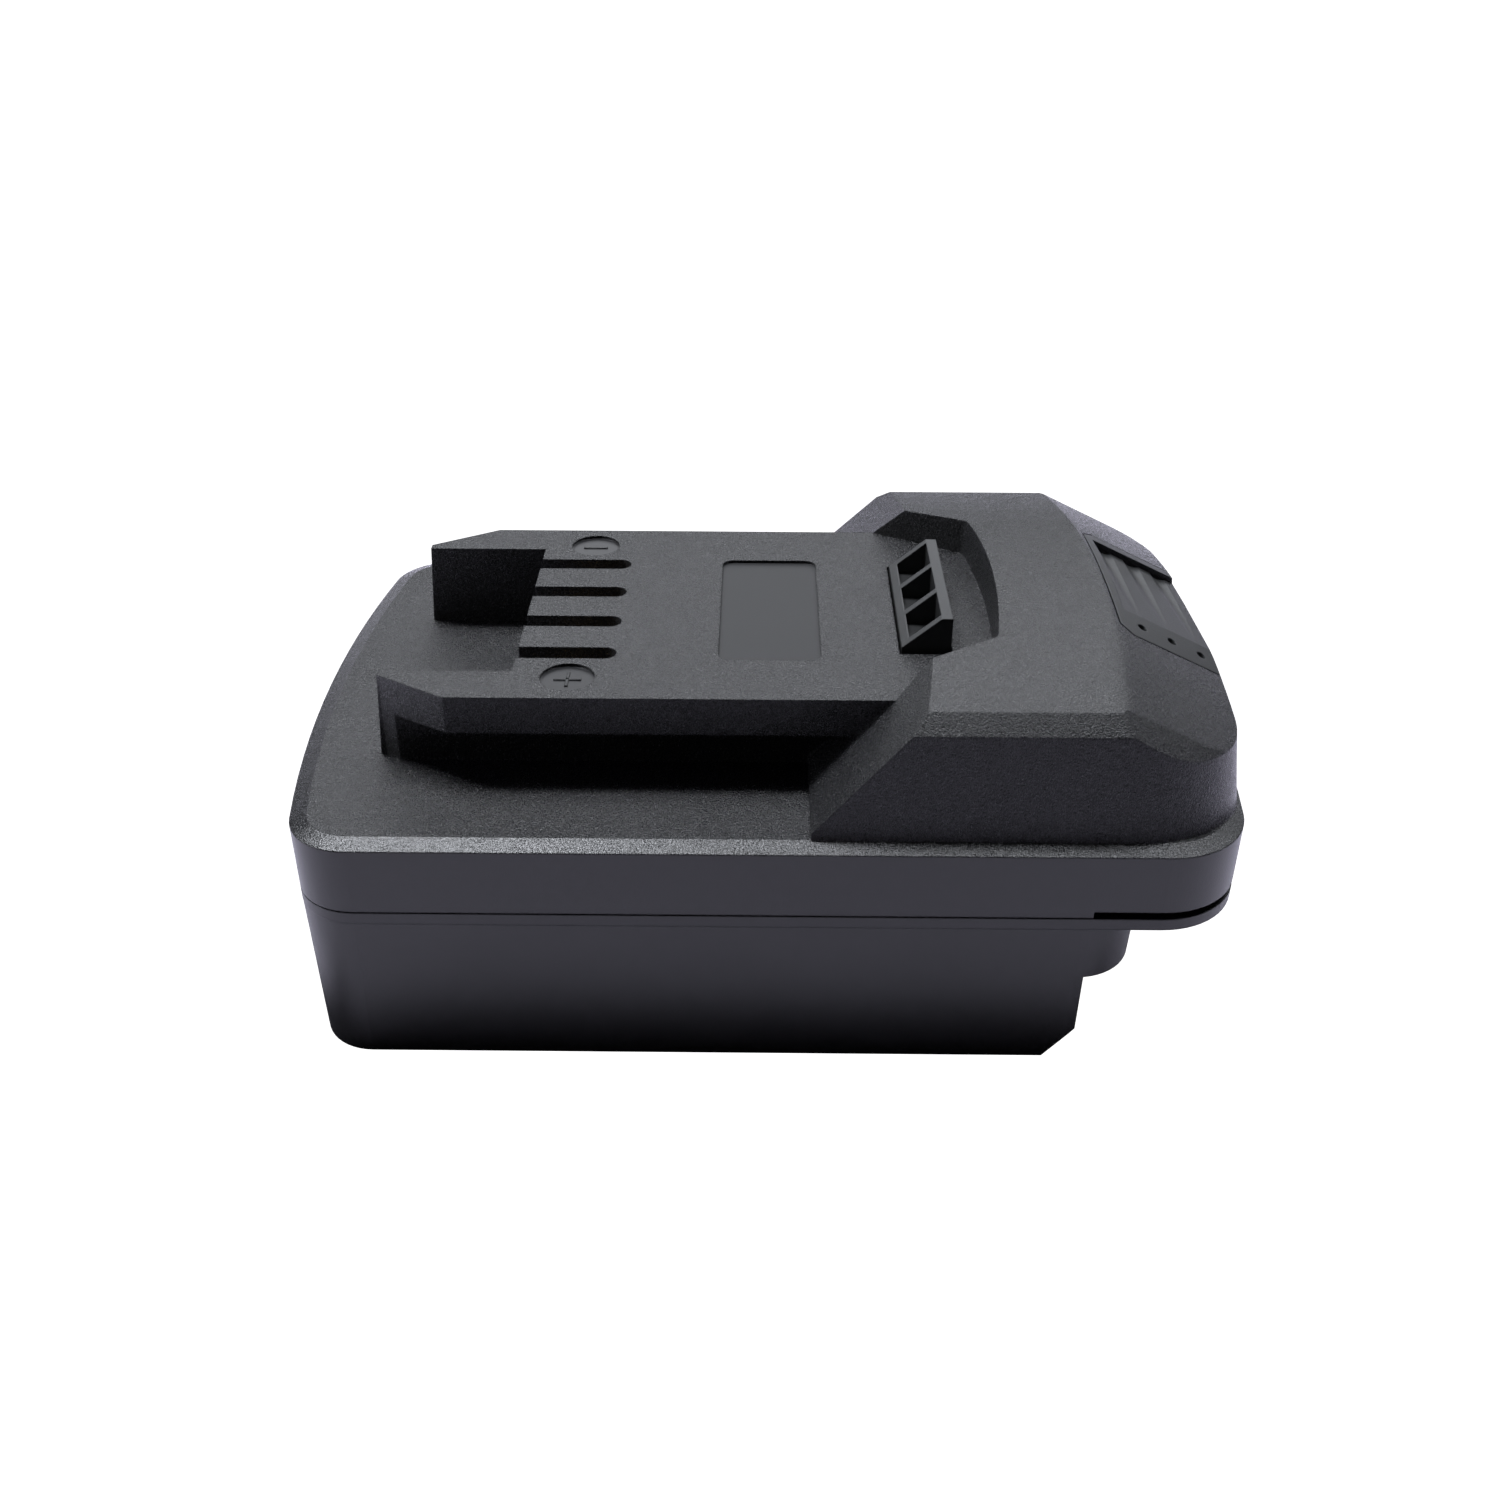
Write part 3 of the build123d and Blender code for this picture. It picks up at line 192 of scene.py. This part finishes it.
class Finish:
    """Node tree of one material, with short calls for the nodes that the finishes share."""

    def __init__(self, name):
        self.material = bpy.data.materials.new(name)
        self.material.use_nodes = True
        self.nodes = self.material.node_tree.nodes
        self.links = self.material.node_tree.links
        self.shader = self.nodes["Principled BSDF"]
        self.place = self.add("ShaderNodeTexCoord").outputs["Object"]

    def add(self, kind, inputs=(), **settings):
        """Adds a node. inputs are pairs of a socket and a value or another node's socket."""
        node = self.nodes.new(kind)
        for key, value in settings.items():
            setattr(node, key, value)
        for socket, value in inputs:
            self.feed(node.inputs[socket], value)
        return node

    def feed(self, socket, value):
        """Links a socket to another node's socket, or sets it to a plain value."""
        if isinstance(value, bpy.types.NodeSocket):
            self.links.new(value, socket)
        else:
            socket.default_value = value

    def maths(self, operation, first, second=0.0):
        """Result of a maths node."""
        return self.add("ShaderNodeMath", ((0, first), (1, second)), operation=operation).outputs[0]

    def noise(self, size, stretch=(1, 1, 1)):
        """Noise from 0 to 1 with features of that size, stretched along the axes."""
        scaled = self.add(
            "ShaderNodeVectorMath",
            ((0, self.place), (1, Vector([share / (size * mm) for share in stretch]))),
            operation="MULTIPLY",
        )
        noise = self.add(
            "ShaderNodeTexNoise",
            (
                ("Vector", scaled.outputs[0]),
                ("Scale", 1.0),
                ("Detail", noise_detail),
                ("Roughness", noise_roughness),
            ),
        )
        return noise.outputs["Fac"]

    def spread(self, value, low, high):
        """Maps a noise value's middle range to the range from low to high."""
        mapped = self.add(
            "ShaderNodeMapRange",
            ((0, value), (1, noise_middle[0]), (2, noise_middle[1]), (3, low), (4, high)),
        )
        return mapped.outputs[0]

    def patches(self, change, size=patch_size):
        """Factor for slow changes of shade, up to that much above and below 1."""
        return self.spread(self.noise(size), 1 - change, 1 + change)

    def tint(self, colour, factor):
        """Colour times a factor."""
        scaled = self.add("ShaderNodeVectorMath", ((0, colour),), operation="SCALE")
        self.feed(scaled.inputs["Scale"], factor)
        return scaled.outputs[0]

    def blend(self, share, first, second):
        """Colour that goes from first to second as share goes from 0 to 1."""
        mix = self.add("ShaderNodeMix", data_type="RGBA")
        self.feed(mix.inputs["Factor"], share)
        self.feed(mix.inputs[6], first)
        self.feed(mix.inputs[7], second)
        return mix.outputs[2]

    def mix_value(self, share, first, second):
        """Number that goes from first to second as share goes from 0 to 1."""
        mix = self.add("ShaderNodeMix", data_type="FLOAT")
        self.feed(mix.inputs["Factor"], share)
        self.feed(mix.inputs[2], first)
        self.feed(mix.inputs[3], second)
        return mix.outputs[0]

    def apart(self, parts, axis, low, high):
        """Distance in metres from the middle of a box, and half its size, along one axis."""
        middle = (low[axis] + high[axis]) / 2 * mm
        half = (high[axis] - low[axis]) / 2 * mm
        distance = self.maths("ABSOLUTE", self.maths("SUBTRACT", parts.outputs[axis], middle))
        return distance, half

    def inside(self, low, high):
        """1 inside a box and 0 outside it."""
        parts = self.add("ShaderNodeSeparateXYZ", ((0, self.place),))
        share = None
        for axis in range(3):
            distance, half = self.apart(parts, axis, low, high)
            near = self.maths("LESS_THAN", distance, half)
            share = near if share is None else self.maths("MULTIPLY", share, near)
        return share

    def contact_shade(self):
        """Shade of the floor, dark along the object's foot and full a little way from it."""
        parts = self.add("ShaderNodeSeparateXYZ", ((0, self.place),))
        outside = []
        for axis in range(2):
            distance, half = self.apart(parts, axis, foot_low, foot_high)
            outside.append(self.maths("SUBTRACT", distance, half))
        nearest = self.maths("MAXIMUM", outside[0], outside[1])
        shade = self.add(
            "ShaderNodeMapRange",
            ((0, nearest), (1, 0.0), (2, contact_shade_width * mm), (3, contact_shade), (4, 1.0)),
            interpolation_type="SMOOTHSTEP",
        )
        return shade.outputs[0]

    def grain(self, relief, height, edge_radius=edge_r * mm):
        """Bump of a spark-eroded surface, over edges softened to a radius in metres."""
        fine = self.maths("MULTIPLY", self.noise(fine_grain_size), fine_grain_share)
        level = self.maths("ADD", self.noise(grain_size), fine)
        soft = self.add("ShaderNodeBevel", (("Radius", edge_radius),), samples=edge_samples)
        bump = self.add(
            "ShaderNodeBump",
            (("Strength", relief), ("Distance", height * mm), ("Height", level), ("Normal", soft.outputs[0])),
        )
        self.feed(self.shader.inputs["Normal"], bump.outputs[0])
        return level

    def surface(self, colour, roughness, metallic=0.0):
        """Sets the colour and roughness, each a value or a socket."""
        self.feed(self.shader.inputs["Base Color"], colour)
        self.feed(self.shader.inputs["Roughness"], roughness)
        self.shader.inputs["Metallic"].default_value = metallic


def housing_finish():
    """Black housing: spark-eroded on top, smoother on the side walls, label and sign places."""
    finish = Finish("housing_black")
    label = finish.inside(label_low, label_high)
    side = finish.inside((*around_low, parting_z - parting_overrun), (*around_high, rim_z - rim_gap))
    smooth = finish.maths("MAXIMUM", label, side)
    disc_reach = disc_r + disc_gap
    for y in (disc_y, -disc_y):
        disc = finish.inside(
            (disc_x - disc_reach, y - disc_reach, label_low[2]),
            (disc_x + disc_reach, y + disc_reach, label_high[2]),
        )
        smooth = finish.maths("MAXIMUM", smooth, disc)
    folds = [
        finish.inside((fold_x - fold_reach, low, fold_z[0]), (fold_x + fold_reach, high, fold_z[1]))
        for low, high in ((-fold_y[1], -fold_y[0]), fold_y)
    ]
    edge_radius = finish.mix_value(finish.maths("ADD", *folds), edge_r * mm, fold_r * mm)
    bevel = finish.inside((*around_low, rim_z + bevel_gap), (*around_high, deck_z - bevel_gap))
    relief = finish.mix_value(smooth, textured_relief, smooth_relief)
    relief = finish.mix_value(bevel, relief, bevel_relief)
    level = finish.grain(relief, grain_height, edge_radius)
    shade = finish.mix_value(smooth, finish.spread(level, *speck_shade), 1.0)
    shade = finish.maths("MULTIPLY", finish.patches(housing_patches), shade)
    colour = finish.blend(smooth, textured_black, smooth_black)
    sparkle = finish.spread(finish.noise(speck_size), -speck_gloss, speck_gloss)
    roughness = finish.mix_value(smooth, textured_roughness, smooth_roughness)
    roughness = finish.mix_value(bevel, roughness, bevel_roughness)
    roughness = finish.mix_value(label, roughness, label_roughness)
    roughness = finish.maths("ADD", roughness, finish.mix_value(smooth, sparkle, 0.0))
    finish.surface(finish.tint(colour, shade), roughness)
    return finish.material


def moulded_finish(name, colour, roughness, relief=0.3, patches=0.12, gloss=0.04):
    """Moulded plastic of one colour, with a fine grain and slight changes of shade and gloss."""
    finish = Finish(name)
    level = finish.grain(relief, moulded_height)
    finish.surface(
        finish.tint(colour, finish.patches(patches)),
        finish.spread(level, roughness - gloss, roughness + gloss),
    )
    return finish.material


def metal_finish(name, colour, roughness, stretch=(1, 1, 1)):
    """Metal with fine lines in its shade, gloss and relief."""
    finish = Finish(name)
    lines = finish.noise(line_size, stretch)
    finish.surface(
        finish.tint(colour, finish.spread(lines, *line_shade)),
        finish.spread(lines, roughness + line_gloss[0], roughness + line_gloss[1]),
        metallic=1.0,
    )
    bump = finish.add(
        "ShaderNodeBump", (("Strength", line_relief), ("Distance", line_height * mm), ("Height", lines)),
    )
    finish.feed(finish.shader.inputs["Normal"], bump.outputs[0])
    return finish.material


def floor_finish(name, colour, glow, shaded):
    """Evenly glowing floor, shaded along the object's foot or not."""
    finish = Finish(name)
    shade = finish.patches(floor_patches, floor_patch_size)
    if shaded:
        shade = finish.maths("MULTIPLY", shade, finish.contact_shade())
    tinted = finish.tint(colour, shade)
    finish.surface(tinted, floor_roughness)
    finish.feed(finish.shader.inputs["Emission Color"], tinted)
    finish.shader.inputs["Emission Strength"].default_value = glow
    finish.shader.inputs["Specular IOR Level"].default_value = 0.0
    return finish.material


def mesh_piece(name, form, material):
    """Makes a piece from a bmesh."""
    mesh = bpy.data.meshes.new(name)
    form.to_mesh(mesh)
    form.free()
    piece = bpy.data.objects.new(name, mesh)
    bpy.context.collection.objects.link(piece)
    mesh.materials.append(material)
    return piece


def sign_piece(name, x, y, arms, material):
    """Raised sign of one or two bars with softened edges, standing on the floor of a round recess."""
    form = bmesh.new()
    foot_z = plate_z - recess_depth
    for across, along in arms:
        corners = [(-across, -along), (across, -along), (across, along), (-across, along)]
        levels = []
        for inset, z in ((0, 0), (0, sign_height - sign_edge), (sign_edge, sign_height)):
            ring = [
                Vector((x + px - copysign(inset, px), y + py - copysign(inset, py), foot_z + z)) * mm
                for px, py in corners
            ]
            levels.append([form.verts.new(point) for point in ring])
        for low, high in zip(levels, levels[1:]):
            wall(form, low, high)
        form.faces.new(levels[-1])
        form.faces.new(levels[0][::-1])
    return mesh_piece(name, form, material)


def wall(form, low, high):
    """Joins two closed rings of points with faces."""
    for index in range(len(low)):
        after = (index + 1) % len(low)
        form.faces.new((low[index], low[after], high[after], high[index]))


def floor_piece(name, low, high, material, wall_height=0.0):
    """Floor from corner to corner, with a backdrop along its edges where it has a height."""
    form = bmesh.new()
    corners = [(low[0], low[1]), (high[0], low[1]), (high[0], high[1]), (low[0], high[1])]
    ring = [form.verts.new(Vector((x, y, floor_z)) * mm) for x, y in corners]
    form.faces.new(ring)
    if wall_height:
        wall(form, ring, [form.verts.new(Vector((x, y, wall_height)) * mm) for x, y in corners])
    floor = mesh_piece(name, form, material)
    return floor


def add_floors():
    """Pale floor and backdrop that the camera sees, and the floor that the object's surfaces reflect."""
    seen = floor_piece(
        "floor", (-floor_half, -floor_half), (floor_half, floor_half),
        floor_finish("floor", floor_colour, floor_glow, shaded=False), backdrop_height,
    )
    seen.visible_glossy = False
    seen.visible_diffuse = False
    seen.visible_shadow = False
    reflected = floor_piece(
        "bounce_floor", bounce_low, bounce_high,
        floor_finish("bounce_floor", bounce_colour, bounce_glow, shaded=True),
    )
    reflected.visible_camera = False


def add_camera():
    """Camera at the viewing angle of the photograph."""
    forward = Vector((
        sin(camera_yaw) * cos(camera_pitch), cos(camera_yaw) * cos(camera_pitch), -sin(camera_pitch),
    ))
    level_right = Vector((cos(camera_yaw), -sin(camera_yaw), 0))
    level_up = level_right.cross(forward)
    right = level_right * cos(camera_roll) + level_up * sin(camera_roll)
    up = level_up * cos(camera_roll) - level_right * sin(camera_roll)
    data = bpy.data.cameras.new("camera")
    data.lens = camera_lens
    data.sensor_width = camera_sensor
    data.clip_start = camera_clip * mm
    camera = bpy.data.objects.new("camera", data)
    bpy.context.collection.objects.link(camera)
    turn = Matrix((right, up, -forward)).transposed().to_4x4()
    camera.matrix_world = Matrix.Translation(camera_place) @ turn
    bpy.context.scene.camera = camera


def add_light(name, azimuth, elevation, distance, size, watts):
    """Soft box that shines at the object. Azimuth 0 is +X and 90 is the far side."""
    data = bpy.data.lights.new(name, "AREA")
    data.shape = "RECTANGLE"
    data.size = size[0] * mm
    data.size_y = size[1] * mm
    data.energy = watts
    data.color = light_colour
    lamp = bpy.data.objects.new(name, data)
    bpy.context.collection.objects.link(lamp)
    around = radians(azimuth)
    above = radians(elevation)
    away = Vector((cos(above) * cos(around), cos(above) * sin(around), sin(above)))
    lamp.location = light_target + away * distance * mm
    lamp.rotation_euler = (-away).to_track_quat("-Z", "Y").to_euler()


def add_sky():
    """Weak sky that gets lighter upwards."""
    world = bpy.data.worlds.new("sky")
    bpy.context.scene.world = world
    world.use_nodes = True
    nodes = world.node_tree.nodes
    links = world.node_tree.links
    direction = nodes.new("ShaderNodeTexCoord").outputs["Generated"]
    parts = nodes.new("ShaderNodeSeparateXYZ")
    links.new(direction, parts.inputs[0])
    height = nodes.new("ShaderNodeMapRange")
    height.inputs["From Min"].default_value = -1.0
    links.new(parts.outputs["Z"], height.inputs["Value"])
    ramp = nodes.new("ShaderNodeValToRGB")
    links.new(height.outputs[0], ramp.inputs[0])
    stops = ramp.color_ramp.elements
    while len(stops) < len(sky_colours):
        stops.new(0.5)
    for stop, (share, colour) in zip(stops, sky_colours):
        stop.position = share
        stop.color = colour
    background = nodes["Background"]
    links.new(ramp.outputs[0], background.inputs["Color"])
    background.inputs["Strength"].default_value = sky_strength


def dress(node, material):
    """Gives a CAD node a finish."""
    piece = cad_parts[node]
    piece.data.materials.clear()
    piece.data.materials.append(material)


add_camera()
add_floors()
add_sky()
for name, light in lights.items():
    add_light(name, **light)

finishes = {"housing_black": housing_finish()}
for name, look in moulded.items():
    finishes[name] = moulded_finish(name, **look)
for name, look in metals.items():
    finishes[name] = metal_finish(name, **look)
for name, nodes in dressed.items():
    for node in nodes:
        dress(node, finishes[name])

level_arm = (sign_length / 2, sign_stroke / 2)
upright_arm = (sign_stroke / 2, sign_length / 2)
plus_sign = sign_piece("plus_sign", disc_x, -disc_y, (level_arm, upright_arm), finishes["housing_black"])
minus_sign = sign_piece("minus_sign", disc_x, disc_y, (level_arm,), finishes["housing_black"])
for sign in (plus_sign, minus_sign):
    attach(sign, "housing")

bpy.context.scene.view_settings.view_transform = "Standard"
